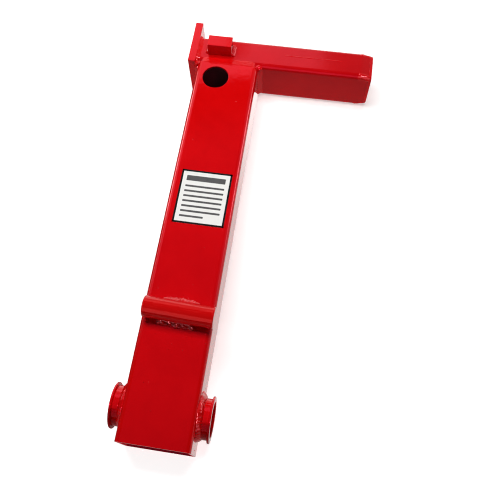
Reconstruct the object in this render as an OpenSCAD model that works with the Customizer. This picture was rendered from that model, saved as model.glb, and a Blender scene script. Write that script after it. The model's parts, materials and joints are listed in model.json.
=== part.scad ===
// Welded L-shaped lift arm of rectangular steel tube.
// The long tube lies along Y with its wide face up (+Z), the short arm leaves its
// top end along +X, and the pivot sleeve crosses its bottom end along X.
// The origin is the centre of the pivot bore. Millimetres.

/* [Long tube] */
// Width of the long tube, along X
tube_w = 101.6; // [90:0.1:127]
// Depth of the long tube and of the arm, along Z
tube_d = 76.2; // [76.2:0.1:90]
// Length of the long tube, from its open bottom end to the arm
tube_len = 612.8; // [480:0.1:900]
// Wall thickness of the long tube
tube_wall = 4.76; // [3.2:0.01:6.35]
// Outside corner radius of the long tube
tube_r = 9; // [7:0.1:10]

/* [Arm] */
// Height of the arm tube, along Y
arm_h = 50.8; // [46:0.1:64]
// Wall thickness of the arm tube
arm_wall = 4.76; // [3.2:0.01:6]
// Outside corner radius of the arm tube
arm_r = 7.5; // [6.5:0.1:9]
// Reach of the arm tip from the long tube's centreline
arm_reach = 238.1; // [180:0.1:400]
// Length of the drawn-in tip
tip_len = 18; // [12:0.5:24]
// How far the front and back walls of the tip are drawn in
tip_drop = 4.4; // [2:0.1:6]
// How far the upper and lower walls of the tip are drawn in
tip_pinch = 0.7; // [0.2:0.1:3]
// Thickness of the cap that closes the tip
cap_t = 4.8; // [3:0.1:8]

/* [End plate] */
// Thickness of the end plate, along X
plate_t = 12.7; // [8:0.1:16]
// Height of the end plate, along Y
plate_h = 80.5; // [74:0.1:110]
// How far the end plate stands in front of the arm's front face
plate_proud = 3.6; // [2:0.1:6]
// How far the end plate reaches below the arm
plate_below = 4.5; // [3:0.1:8]
// Distance of the end plate's inner face from the side of the long tube
plate_gap = 3.6; // [2:0.1:6]

/* [Pin hole and stop block] */
// Diameter of the pin hole through the wide faces
pin_hole_d = 42.8; // [20:0.1:46]
// Offset of the pin hole and the stop block from the centreline
pin_hole_x = -16; // [-18:0.1:0]
// Distance of the pin hole's centre below the arm
pin_hole_drop = 30.1; // [26:0.1:60]
// Width of the stop block, along X
block_w = 39.9; // [25:0.1:44]
// Height of the stop block, along Y
block_h = 20.7; // [12:0.1:26]
// How far the stop block stands out of the arm's front face
block_out = 23.1; // [10:0.1:40]
// Distance of the stop block's lower face above the arm's lower face
block_up = 14.6; // [12:0.1:18]

/* [Cross bar] */
// Diameter of the round cross bar
bar_d = 30; // [20:0.1:40]
// Length of the round cross bar
bar_len = 99.4; // [80:0.1:101]
// Distance of the bar's middle above the bottom end of the long tube
bar_up = 176.7; // [140:0.1:260]
// Sideways offset of the bar's middle
bar_x = 3.6; // [-4:0.1:4]
// Lean of the bar, as it was welded on
bar_lean = -1.95; // [-3:0.05:3]

/* [Pivot] */
// Distance of the pivot axis above the bottom end of the long tube
pivot_up = 48.4; // [44:0.1:70]
// Diameter of the pivot bore
bore_d = 48; // [30:0.1:50]
// Outside diameter of the pivot sleeve
sleeve_d = 55; // [53:0.1:57]
// Length of the pivot sleeve
sleeve_len = 137.5; // [132:0.1:160]
// Outside diameter of the flange rings at the sleeve's ends
flange_d = 62.8; // [60:0.1:80]
// Thickness of the flange rings
flange_t = 3.2; // [2:0.1:5]

/* [Label] */
// Width of the label
label_w = 77.9; // [40:0.1:78]
// Height of the label
label_h = 90; // [40:0.1:120]
// Distance of the label's lower edge above the bottom end of the long tube
label_up = 315.2; // [230:0.1:360]
// Sideways offset of the label's middle
label_x = 2.3; // [-2:0.1:2.5]
// Thickness of the label
label_t = 0.3; // [0.1:0.05:0.5]

/* [Welds] */
// Leg of the fillet weld in the inner corner of the L
weld_inner = 8; // [4:0.1:12]
// Leg of the fillet weld along the top of the arm at the end plate
weld_plate = 6.5; // [4:0.1:9]
// Leg of the fillet welds at the sides of the stop block
weld_block = 5.5; // [3:0.1:7]
// Leg of the ring welds round the pivot sleeve
weld_hub = 7.5; // [4:0.1:8.5]
// How far the bead above the cross bar reaches beyond the bar
weld_bar_up = 8.6; // [3:0.1:11]
// How far the bead below the cross bar reaches beyond the bar
weld_bar_low = 4.5; // [2:0.1:9]
// Leg of the fillet under the end plate, on the long tube's outer side
weld_outer = 5; // [3:0.1:7]

/* [Hidden] */

y_bot = -pivot_up;             // open bottom end of the long tube
y_arm = tube_len - pivot_up;   // lower face of the arm
y_top = y_arm + arm_h;         // upper face of the arm
z_f = tube_d / 2;              // front faces of the tubes
x_plate = -tube_w / 2 - plate_gap;   // inner face of the end plate
x_cap = arm_reach - cap_t;     // where the arm's walls end
x_tip = arm_reach - tip_len;   // where the tip starts to draw in
y_plate = y_arm - plate_below;
y_hole = y_arm - pin_hole_drop;
y_bar = y_bot + bar_up;
y_block = y_arm + block_up;
fine = 96;
red = "crimson";
weld_red = "firebrick";

// Rounded rectangle centred on the origin
module round_rect(w, h, r) {
    union() {
        square([w - 2 * r, h], center = true);
        square([w, h - 2 * r], center = true);
        for (sx = [-1, 1], sy = [-1, 1])
            translate([sx * (w / 2 - r), sy * (h / 2 - r)]) circle(r, $fn = 48);
    }
}

// Solid bar of rounded rectangular section, along +Y from y0 to y1
module bar_along_y(w, d, r, y0, y1) {
    translate([0, y1, 0]) rotate([90, 0, 0]) linear_extrude(y1 - y0) round_rect(w, d, r);
}

// Solid bar of rounded rectangular section, along +X from x0 to x1, centred on yc
module bar_along_x(h, d, r, x0, x1, yc) {
    translate([x0, yc, 0]) rotate([90, 0, 90]) linear_extrude(x1 - x0) round_rect(h, d, r);
}

// Ring round the X axis whose section is given as [x, radius] points
module ring_x(points) {
    rotate([0, 90, 0]) rotate([0, 0, 90])
        rotate_extrude($fn = fine) polygon([for (p = points) [p[1], p[0]]]);
}

// How much of the tip's draw-in is reached at a station along X, from 0 to 1
function drawn(x) = max(0, (x - x_tip) / tip_len);

// Outline of the drawn-in tip: a frustum from the full section to the small one
module tip_solid(inset, x0, x1) {
    hull() {
        bar_along_x(arm_h - 2 * inset, tube_d - 2 * inset,
                    max(1.5, arm_r - inset), x0, x0 + 0.02, y_arm + arm_h / 2);
        bar_along_x(arm_h - 2 * (tip_pinch * drawn(x1) + inset),
                    tube_d - 2 * (tip_drop * drawn(x1) + inset),
                    max(1.5, arm_r - 1.5 - inset), x1 - 0.02, x1, y_arm + arm_h / 2);
    }
}

// The four welded corner slits of the tip
module tip_slits(w) {
    for (sy = [-1, 1], sz = [-1, 1])
        translate([x_tip + 2, y_arm + arm_h / 2 + sy * (arm_h / 2 - 4.2), sz * (z_f - 4.2)])
            rotate([sz * sy * 45, 0, 0])
                translate([0, -w / 2, -9]) cube([tip_len, w, 18]);
}

module long_tube() {
    color(red) difference() {
        bar_along_y(tube_w, tube_d, tube_r, y_bot, y_arm);
        bar_along_y(tube_w - 2 * tube_wall, tube_d - 2 * tube_wall, tube_r - tube_wall,
                    y_bot - 1, y_arm + 1);
        // pin hole through the two wide walls
        translate([pin_hole_x, y_hole, -tube_d]) cylinder(d = pin_hole_d, h = 2 * tube_d, $fn = fine);
        // seat of the pivot sleeve in the two narrow walls
        translate([-tube_w, 0, 0]) rotate([0, 90, 0]) cylinder(d = sleeve_d, h = 2 * tube_w, $fn = fine);
    }
}

module arm_tube() {
    color(red) difference() {
        union() {
            bar_along_x(arm_h, tube_d, arm_r, x_plate, x_tip, y_arm + arm_h / 2);
            tip_solid(0, x_tip, x_cap);
        }
        bar_along_x(arm_h - 2 * arm_wall, tube_d - 2 * arm_wall, arm_r - arm_wall,
                    x_plate - 1, x_tip, y_arm + arm_h / 2);
        tip_solid(arm_wall, x_tip - 0.01, x_cap + 0.01);
        tip_slits(2.4);
    }
}

module arm_end_cap() {
    color(red) hull() {
        bar_along_x(arm_h - 2 * tip_pinch * drawn(x_cap), tube_d - 2 * tip_drop * drawn(x_cap),
                    arm_r - 1.5, x_cap, x_cap + 0.02, y_arm + arm_h / 2);
        bar_along_x(arm_h - 2 * tip_pinch, tube_d - 2 * tip_drop, arm_r - 1.5,
                    arm_reach - 1.3, arm_reach - 1.2, y_arm + arm_h / 2);
        bar_along_x(arm_h - 2 * tip_pinch - 2.4, tube_d - 2 * tip_drop - 2.4, arm_r - 2.7,
                    arm_reach - 0.1, arm_reach, y_arm + arm_h / 2);
    }
}

module end_plate() {
    color(red) translate([x_plate - plate_t, y_plate, -z_f])
        cube([plate_t, plate_h, tube_d + plate_proud]);
}

module stop_block() {
    color(red) translate([pin_hole_x - block_w / 2, y_block, z_f])
        cube([block_w, block_h, block_out]);
}

// Round bar with broken edges, lying on the front face
module cross_bar() {
    color(red) translate([bar_x, y_bar, z_f + bar_d / 2]) rotate([0, 0, bar_lean])
        ring_x([[-bar_len / 2, 0], [-bar_len / 2, bar_d / 2 - 1.6],
                [-bar_len / 2 + 1.4, bar_d / 2], [bar_len / 2 - 1.4, bar_d / 2],
                [bar_len / 2, bar_d / 2 - 1.6], [bar_len / 2, 0]]);
}

module pivot_sleeve() {
    color(red) translate([-sleeve_len / 2, 0, 0]) rotate([0, 90, 0]) difference() {
        cylinder(d = sleeve_d, h = sleeve_len, $fn = fine);
        translate([0, 0, -1]) cylinder(d = bore_d, h = sleeve_len + 2, $fn = fine);
    }
}

// Flange ring over one end of the sleeve; side is -1 or 1
module flange_ring(side) {
    x1 = side * sleeve_len / 2;
    x0 = side * (sleeve_len / 2 - flange_t);
    ro = flange_d / 2;
    ring_x([[x0, sleeve_d / 2], [x0, ro - 0.7], [x0 + side * 0.7, ro],
            [x1 - side * 0.7, ro], [x1, ro - 0.7], [x1, sleeve_d / 2]]);
}
module left_flange_ring() { color(red) flange_ring(-1); }
module right_flange_ring() { color(red) flange_ring(1); }

module label_sheet() {
    color("white") translate([label_x - label_w / 2, y_bot + label_up, z_f])
        cube([label_w, label_h, label_t]);
}

// Weld metal between the end of the long tube and the rounded edge of the arm,
// ground flush with the wide face; side is -1 for the back and 1 for the front
module seam_weld(side) {
    len = tube_w - 2 * tube_r;
    translate([-len / 2, y_arm, side * z_f]) rotate([90, 0, 90]) linear_extrude(len)
        difference() {
            translate([0, side > 0 ? -arm_r : 0]) square(arm_r);
            translate([arm_r, -side * arm_r]) circle(arm_r, $fn = 48);
        }
}
module arm_front_seam_weld() { color(weld_red) seam_weld(1); }
module arm_back_seam_weld() { color(weld_red) seam_weld(-1); }

// Convex fillet of leg a in the corner at the origin, between +X and -Y
function fillet_section(a, b) =
    [[0, 0], [a, 0], [a * 0.86, -b * 0.30], [a * 0.62, -b * 0.62], [a * 0.30, -b * 0.86], [0, -b]];

module inner_corner_weld() {
    color(weld_red) translate([tube_w / 2, y_arm, -z_f + arm_r]) linear_extrude(tube_d - 2 * arm_r - 2)
        polygon(fillet_section(weld_inner, weld_inner));
}

// Fills the gap between the end plate and the long tube, with a fillet below the plate
module outer_corner_weld() {
    color(weld_red) translate([-tube_w / 2, y_plate, -z_f + tube_r])
        linear_extrude(tube_d - 2 * tube_r)
            polygon([[0, plate_below], [-plate_gap, plate_below], [-plate_gap, 0],
                     [-plate_gap - weld_outer * 0.7, 0], [-plate_gap - weld_outer * 0.1, -weld_outer * 0.5],
                     [0, -weld_outer]]);
}

module plate_top_weld() {
    color(weld_red) translate([x_plate, y_top, -z_f + arm_r]) mirror([0, 1, 0])
        linear_extrude(tube_d - 2 * arm_r) polygon(fillet_section(weld_plate, weld_plate));
}

module plate_front_weld() {
    color(weld_red) translate([x_plate, y_top - arm_r, z_f]) rotate([90, 0, 0])
        linear_extrude(arm_h - 2 * arm_r)
            polygon([[0, 0], [7, 0], [4.2, plate_proud * 0.5], [1.8, plate_proud * 0.85], [0, plate_proud]]);
}

// Short bead that closes the front corner between plate, arm and long tube
module plate_lower_weld() {
    color(weld_red) translate([x_plate, y_arm, z_f - tube_r]) difference() {
        translate([0, -plate_below, 0]) cube([plate_gap + tube_r, plate_below, tube_r]);
        translate([plate_gap + tube_r, 1, 0]) rotate([90, 0, 0])
            cylinder(r = tube_r, h = plate_below + 2, $fn = 48);
    }
}

module block_left_weld() {
    color(weld_red) translate([pin_hole_x - block_w / 2, y_block + block_h - 2, z_f])
        rotate([90, 0, 0]) linear_extrude(block_h - 3)
            mirror([1, 0]) polygon([for (p = fillet_section(weld_block, weld_block)) [p[0], -p[1]]]);
}

module block_right_weld() {
    color(weld_red) translate([pin_hole_x + block_w / 2, y_block + block_h, z_f])
        rotate([90, 0, 0]) linear_extrude(block_h)
            polygon([for (p = fillet_section(weld_block + 1, weld_block)) [p[0], -p[1]]]);
}

// Weld metal in the groove between the bar and the front face; side 1 is towards
// the arm, x0 and x1 are the bead's ends measured along the bar, and toe is how far
// it reaches beyond the bar
module bar_weld(side, x0, x1, toe) {
    rise = bar_d * 0.26;
    translate([bar_x, y_bar, z_f]) rotate([0, 0, bar_lean]) translate([x0, 0, 0])
        rotate([90, 0, 90]) linear_extrude(x1 - x0) difference() {
            polygon([[side * 3, 0], [side * (bar_d / 2 + toe), 0],
                     [side * (bar_d / 2 + toe * 0.62), rise * 0.42],
                     [side * (bar_d / 2 - 0.6), rise], [side * 3, rise]]);
            translate([0, bar_d / 2]) circle(bar_d / 2, $fn = fine);
        }
}
module bar_upper_weld() { color(weld_red) bar_weld(1, -28, 22, weld_bar_up); }
module bar_lower_weld() { color(weld_red) bar_weld(-1, -33, 22, weld_bar_low); }

// Ring weld between the sleeve and the side of the long tube
module sleeve_weld(side) {
    r0 = sleeve_d / 2;
    s = side * tube_w / 2;
    difference() {
        ring_x([[s - side * 5, r0], [s - side * 5, r0 + weld_hub], [s, r0 + weld_hub],
                [s + side * weld_hub * 0.35, r0 + weld_hub * 0.75],
                [s + side * weld_hub * 0.75, r0 + weld_hub * 0.35], [s + side * weld_hub, r0]]);
        bar_along_y(tube_w, tube_d, tube_r, y_bot - 1, y_arm);
    }
}
module left_sleeve_weld() { color(weld_red) sleeve_weld(-1); }
module right_sleeve_weld() { color(weld_red) sleeve_weld(1); }

// Weld metal in the four corner slits of the tip
module tip_corner_welds() {
    color(weld_red) intersection() {
        tip_slits(2.4);
        difference() {
            tip_solid(0, x_tip, x_cap);
            tip_solid(arm_wall, x_tip - 0.01, x_cap + 0.01);
        }
    }
}

long_tube();
arm_tube();
arm_end_cap();
end_plate();
stop_block();
cross_bar();
pivot_sleeve();
left_flange_ring();
right_flange_ring();
label_sheet();
arm_front_seam_weld();
arm_back_seam_weld();
inner_corner_weld();
outer_corner_weld();
plate_top_weld();
plate_front_weld();
plate_lower_weld();
block_left_weld();
block_right_weld();
bar_upper_weld();
bar_lower_weld();
left_sleeve_weld();
right_sleeve_weld();
tip_corner_welds();
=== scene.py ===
import bpy, bmesh, math, json, random
from mathutils import Vector, Matrix, noise


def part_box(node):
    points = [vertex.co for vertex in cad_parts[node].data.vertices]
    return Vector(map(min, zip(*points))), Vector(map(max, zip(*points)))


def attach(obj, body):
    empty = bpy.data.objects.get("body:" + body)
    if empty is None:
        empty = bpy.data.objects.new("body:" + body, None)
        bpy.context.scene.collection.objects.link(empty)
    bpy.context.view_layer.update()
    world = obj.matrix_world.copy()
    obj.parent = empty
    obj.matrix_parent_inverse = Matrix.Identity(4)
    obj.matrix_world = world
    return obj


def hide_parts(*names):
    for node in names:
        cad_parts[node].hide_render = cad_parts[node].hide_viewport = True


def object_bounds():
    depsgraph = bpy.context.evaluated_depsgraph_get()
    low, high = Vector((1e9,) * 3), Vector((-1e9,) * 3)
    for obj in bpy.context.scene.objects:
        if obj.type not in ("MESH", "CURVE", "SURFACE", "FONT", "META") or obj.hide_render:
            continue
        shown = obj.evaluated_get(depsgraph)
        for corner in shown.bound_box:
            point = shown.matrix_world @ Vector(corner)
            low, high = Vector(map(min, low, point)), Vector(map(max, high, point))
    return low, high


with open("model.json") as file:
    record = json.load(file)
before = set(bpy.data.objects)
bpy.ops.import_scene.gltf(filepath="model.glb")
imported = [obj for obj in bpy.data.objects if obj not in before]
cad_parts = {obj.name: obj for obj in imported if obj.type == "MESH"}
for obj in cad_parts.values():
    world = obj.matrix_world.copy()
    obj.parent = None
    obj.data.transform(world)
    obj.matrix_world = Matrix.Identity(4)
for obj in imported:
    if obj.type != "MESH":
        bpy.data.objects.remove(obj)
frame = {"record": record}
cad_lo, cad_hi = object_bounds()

scene = bpy.context.scene
MM = 0.001
ROOT = "root"


# ---------------------------------------------------------------- helpers
def box_mm(node):
    lo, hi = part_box(node)
    return [v * 1000.0 for v in lo], [v * 1000.0 for v in hi]


def add_mesh(name, verts, faces):
    """verts in millimetres."""
    me = bpy.data.meshes.new(name)
    me.from_pydata([(v[0] * MM, v[1] * MM, v[2] * MM) for v in verts], [], faces)
    me.validate()
    bm = bmesh.new()
    bm.from_mesh(me)
    bmesh.ops.recalc_face_normals(bm, faces=bm.faces)
    for f in bm.faces:
        f.smooth = True
    bm.to_mesh(me)
    bm.free()
    ob = bpy.data.objects.new(name, me)
    scene.collection.objects.link(ob)
    return ob


def bake(ob):
    dg = bpy.context.evaluated_depsgraph_get()
    dg.update()
    me = bpy.data.meshes.new_from_object(ob.evaluated_get(dg))
    old = ob.data
    ob.modifiers.clear()
    ob.data = me
    bpy.data.meshes.remove(old)
    return ob


def cut(ob, cutter):
    m = ob.modifiers.new("cut", "BOOLEAN")
    m.operation = "DIFFERENCE"
    m.solver = "EXACT"
    m.object = cutter
    bake(ob)
    bpy.data.objects.remove(cutter)


def rounded(ob, width, segments=3, angle=40.0):
    """Breaks the sharp edges by width millimetres and evens out the shading of the flats."""
    b = ob.modifiers.new("edges", "BEVEL")
    b.width = width * MM
    b.segments = segments
    b.limit_method = "ANGLE"
    b.angle_limit = math.radians(angle)
    b.use_clamp_overlap = False
    b.miter_outer = "MITER_ARC"
    bake(ob)
    for p in ob.data.polygons:
        p.use_smooth = True
    w = ob.modifiers.new("normals", "WEIGHTED_NORMAL")
    w.mode = "FACE_AREA_WITH_ANGLE"
    w.weight = 80
    return ob


def rr(w, h, r, n=12):
    """Rounded rectangle as points, counter-clockwise, n steps a corner."""
    pts = []
    for cx, cy, a0 in ((w / 2 - r, h / 2 - r, 0), (-w / 2 + r, h / 2 - r, 90),
                       (-w / 2 + r, -h / 2 + r, 180), (w / 2 - r, -h / 2 + r, 270)):
        for k in range(n + 1):
            a = math.radians(a0 + 90.0 * k / n)
            pts.append((cx + r * math.cos(a), cy + r * math.sin(a)))
    return pts


def shell(name, outer, inner):
    """Tube from rings of 3-D points, one outer and one inner ring at each station; open ends get an annulus.
    With inner None the ends are closed."""
    n = len(outer[0])
    verts, faces = [], []
    for ring in outer:
        verts += ring
    for s in range(len(outer) - 1):
        for k in range(n):
            a, b = s * n + k, s * n + (k + 1) % n
            faces.append((a, b, b + n, a + n))
    if inner is None:
        faces.append(tuple(range(n))[::-1])
        faces.append(tuple(range((len(outer) - 1) * n, len(outer) * n)))
        return add_mesh(name, verts, faces)
    o = len(verts)
    for ring in inner:
        verts += ring
    for s in range(len(inner) - 1):
        for k in range(n):
            a, b = o + s * n + k, o + s * n + (k + 1) % n
            faces.append((b, a, a + n, b + n))
    for so, si in ((0, o), ((len(outer) - 1) * n, o + (len(inner) - 1) * n)):
        for k in range(n):
            k2 = (k + 1) % n
            faces.append((so + k, so + k2, si + k2, si + k))
    return add_mesh(name, verts, faces)


def round_poly(points, radii, seg=5):
    """Rounds the corners of a closed 2-D polygon."""
    out = []
    m = len(points)
    for i in range(m):
        p, q, t = Vector(points[i - 1]), Vector(points[i]), Vector(points[(i + 1) % m])
        r = radii[i] if isinstance(radii, (list, tuple)) else radii
        u, v = (p - q), (t - q)
        if r <= 0 or u.length < 1e-9 or v.length < 1e-9:
            out.append(tuple(q))
            continue
        u.normalize(); v.normalize()
        ang = u.angle(v)
        if ang > math.pi - 0.05:
            out.append(tuple(q))
            continue
        d = r / math.tan(ang / 2)
        a, b = q + u * d, q + v * d
        c = q + (u + v).normalized() * (r / math.sin(ang / 2))
        va, vb = a - c, b - c
        tot = va.angle(vb)
        sgn = 1 if va.x * vb.y - va.y * vb.x > 0 else -1
        a0 = math.atan2(va.y, va.x)
        for k in range(seg + 1):
            t_ = a0 + sgn * tot * k / seg
            out.append((c.x + r * math.cos(t_), c.y + r * math.sin(t_)))
    return out


def lathe_x(name, section, centre=(0, 0, 0), n=128, lean=0.0):
    """Closed section of (x, radius) points turned round the X axis. Points with radius 0 become a pole."""
    verts, faces, rings = [], [], []
    for x, r in section:
        if r < 1e-6:
            rings.append([len(verts)])
            verts.append((x, 0, 0))
        else:
            ids = []
            for k in range(n):
                a = 2 * math.pi * k / n
                ids.append(len(verts))
                verts.append((x, r * math.cos(a), r * math.sin(a)))
            rings.append(ids)
    closed = all(len(r) > 1 for r in rings)
    pairs = list(zip(rings, rings[1:])) + ([(rings[-1], rings[0])] if closed else [])
    for a, b in pairs:
        for k in range(n):
            k2 = (k + 1) % n
            if len(a) == 1 and len(b) == 1:
                continue
            if len(a) == 1:
                faces.append((a[0], b[k], b[k2]))
            elif len(b) == 1:
                faces.append((a[k], b[0], a[k2]))
            else:
                faces.append((a[k], b[k], b[k2], a[k2]))
    c, s = math.cos(lean), math.sin(lean)
    verts = [(centre[0] + c * v[0] - s * v[1], centre[1] + s * v[0] + c * v[1], centre[2] + v[2]) for v in verts]
    return add_mesh(name, verts, faces)


def nz(p, scale, seed):
    return noise.noise(Vector((p[0] / scale + seed * 17.3, p[1] / scale - seed * 5.1, p[2] / scale + seed * 3.7)))


def bead(name, path, length, leg_a, leg_b, pitch=2.6, amp=0.45, seed=1, k=1.55, closed=False, across=10,
         cap=3.0, bury=0.8, wobble=0.16, lump=0.0, crescent=0.9, step=0.45, post=None, tail=0.35):
    """A rippled fillet bead. path(s) gives the corner point and the directions of its two legs; s runs 0 to length, in mm."""
    n = max(8, int(length / step))
    rings, verts, faces = [], [], []
    for i in range(n if closed else n + 1):
        s = length * i / n
        C, A, B = path(s)
        e = 1.0
        if not closed:
            d = min(s, length - s)
            if d < cap:
                e = tail + (1 - tail) * math.sqrt(max(0.0, 1 - (1 - d / cap) ** 2))
        if closed:
            ph = 2 * math.pi * s / length
            q = (math.cos(ph) * length / 6.3, math.sin(ph) * length / 6.3, 0)
        else:
            q = (s, 0, 0)
        wa = 1 + wobble * nz(q, 9.0, seed) + 0.5 * wobble * nz(q, 3.1, seed + 2)
        wb = 1 + wobble * nz(q, 8.0, seed + 5) + 0.5 * wobble * nz(q, 2.7, seed + 7)
        lump_h = lump * nz(q, 6.0, seed + 11)
        ids = []
        for j in range(across + 1):
            t = j / across
            th = t * math.pi / 2
            ph = (s + crescent * pitch * (1 - (2 * t - 1) ** 2) + 0.35 * pitch * nz(q, 5.0, seed + 3)) / pitch
            f = ph - math.floor(ph)
            h = 1 - (2 * f - 1) ** 2
            w = 0.35 + 0.65 * math.sin(math.pi * t) ** 0.8
            la, lb = leg_a * wa * e, leg_b * wb * e
            ca, sb = max(0.0, math.cos(th)) ** k, max(0.0, math.sin(th)) ** k
            P = C + A * (la * ca) + B * (lb * sb)
            D = (A * math.cos(th) + B * math.sin(th)).normalized()
            P = P + D * ((amp * (h - 0.55) + lump_h) * w * e)
            P = P + D * (0.12 * amp * nz((P.x, P.y, P.z), 0.9, seed + 9))
            if j == 0:
                P = P - B * 0.25
            if j == across:
                P = P - A * 0.25
            if post:
                P = post(P, t)
            ids.append(len(verts))
            verts.append(tuple(P))
        P = C - (A + B) * bury
        if post:
            P = post(P, 0.5)
        ids.append(len(verts))
        verts.append(tuple(P))
        rings.append(ids)
    m = len(rings[0])
    pairs = list(zip(rings, rings[1:])) + ([(rings[-1], rings[0])] if closed else [])
    for a, b in pairs:
        for j in range(m):
            j2 = (j + 1) % m
            faces.append((a[j], a[j2], b[j2], b[j]))
    if not closed:
        faces.append(tuple(rings[0]))
        faces.append(tuple(rings[-1])[::-1])
    return add_mesh(name, verts, faces)


def line(p0, p1, A, B):
    p0, p1, A, B = Vector(p0), Vector(p1), Vector(A).normalized(), Vector(B).normalized()
    L = (p1 - p0).length
    return (lambda s: (p0 + (p1 - p0) * (s / L), A, B)), L


def blob(name, centre, radii, seed=1, sub=4, rough=0.18):
    """An uneven lump of weld metal."""
    bm = bmesh.new()
    bmesh.ops.create_icosphere(bm, subdivisions=sub, radius=1.0)
    for v in bm.verts:
        d = v.co.normalized()
        r = 1 + rough * noise.noise(d * 1.7 + Vector((seed * 3.1, seed, 0))) + 0.4 * rough * noise.noise(d * 4.3 + Vector((0, seed, seed)))
        v.co = Vector((d.x * radii[0] * r, d.y * radii[1] * r, d.z * radii[2] * r))
    verts = [(v.co.x + centre[0], v.co.y + centre[1], v.co.z + centre[2]) for v in bm.verts]
    faces = [tuple(v.index for v in f.verts) for f in bm.faces]
    bm.free()
    return add_mesh(name, verts, faces)


def join(name, obs):
    bm = bmesh.new()
    for o in obs:
        bm.from_mesh(o.data)
    me = bpy.data.meshes.new(name)
    bm.to_mesh(me)
    bm.free()
    for o in obs:
        old = o.data
        bpy.data.objects.remove(o)
        bpy.data.meshes.remove(old)
    ob = bpy.data.objects.new(name, me)
    scene.collection.objects.link(ob)
    for p in me.polygons:
        p.use_smooth = True
    return ob


# ---------------------------------------------------------------- materials
def nodes_of(mat):
    mat.use_nodes = True
    nt = mat.node_tree
    nt.nodes.clear()
    return nt


class Net:
    def __init__(self, mat):
        self.t = nodes_of(mat)

    def n(self, kind, **props):
        x = self.t.nodes.new(kind)
        for a, b in props.items():
            setattr(x, a, b)
        return x

    def link(self, a, b):
        self.t.links.new(a, b)

    def noise(self, vec, scale, detail=3.0, rough=0.5, dist=0.0):
        x = self.n("ShaderNodeTexNoise")
        x.inputs["Scale"].default_value = scale
        x.inputs["Detail"].default_value = detail
        x.inputs["Roughness"].default_value = rough
        x.inputs["Distortion"].default_value = dist
        self.link(vec, x.inputs["Vector"])
        return x.outputs["Fac"]

    def remap(self, val, a, b, c, d, smooth=False):
        x = self.n("ShaderNodeMapRange")
        if smooth:
            x.interpolation_type = "SMOOTHSTEP"
        x.inputs["From Min"].default_value = a
        x.inputs["From Max"].default_value = b
        x.inputs["To Min"].default_value = c
        x.inputs["To Max"].default_value = d
        self.link(val, x.inputs["Value"])
        return x.outputs["Result"]

    def math(self, op, a, b=None, clamp=False):
        x = self.n("ShaderNodeMath", operation=op)
        x.use_clamp = clamp
        for i, v in enumerate((a, b)):
            if v is None:
                continue
            if isinstance(v, (int, float)):
                x.inputs[i].default_value = v
            else:
                self.link(v, x.inputs[i])
        return x.outputs[0]

    def mix(self, fac, c1, c2, blend="MIX"):
        x = self.n("ShaderNodeMix", data_type="RGBA", blend_type=blend)
        if isinstance(fac, (int, float)):
            x.inputs["Factor"].default_value = fac
        else:
            self.link(fac, x.inputs["Factor"])
        for sock, v in (("A", c1), ("B", c2)):
            s = [i for i in x.inputs if i.name == sock and i.type == "RGBA"][0]
            if isinstance(v, (tuple, list)):
                s.default_value = (*v, 1.0)
            else:
                self.link(v, s)
        return [o for o in x.outputs if o.type == "RGBA"][0]

    def object_coords(self, scale=None):
        c = self.n("ShaderNodeTexCoord")
        if scale is None:
            return c.outputs["Object"]
        m = self.n("ShaderNodeMapping")
        m.inputs["Scale"].default_value = scale
        self.link(c.outputs["Object"], m.inputs["Vector"])
        return m.outputs["Vector"]


RED_A = (0.600, 0.0016, 0.0022)
RED_B = (0.540, 0.0010, 0.0016)
RED_THIN = (0.470, 0.0006, 0.0010)
RED_EDGE = (0.700, 0.008, 0.010)
# mill scale colours darkened to near black: partly painted shade inside the tubes
SCALE_AND_SHADE = (0.0030, 0.0024, 0.0022)
SCALE_RUST_AND_SHADE = (0.0075, 0.0046, 0.0036)


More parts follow.
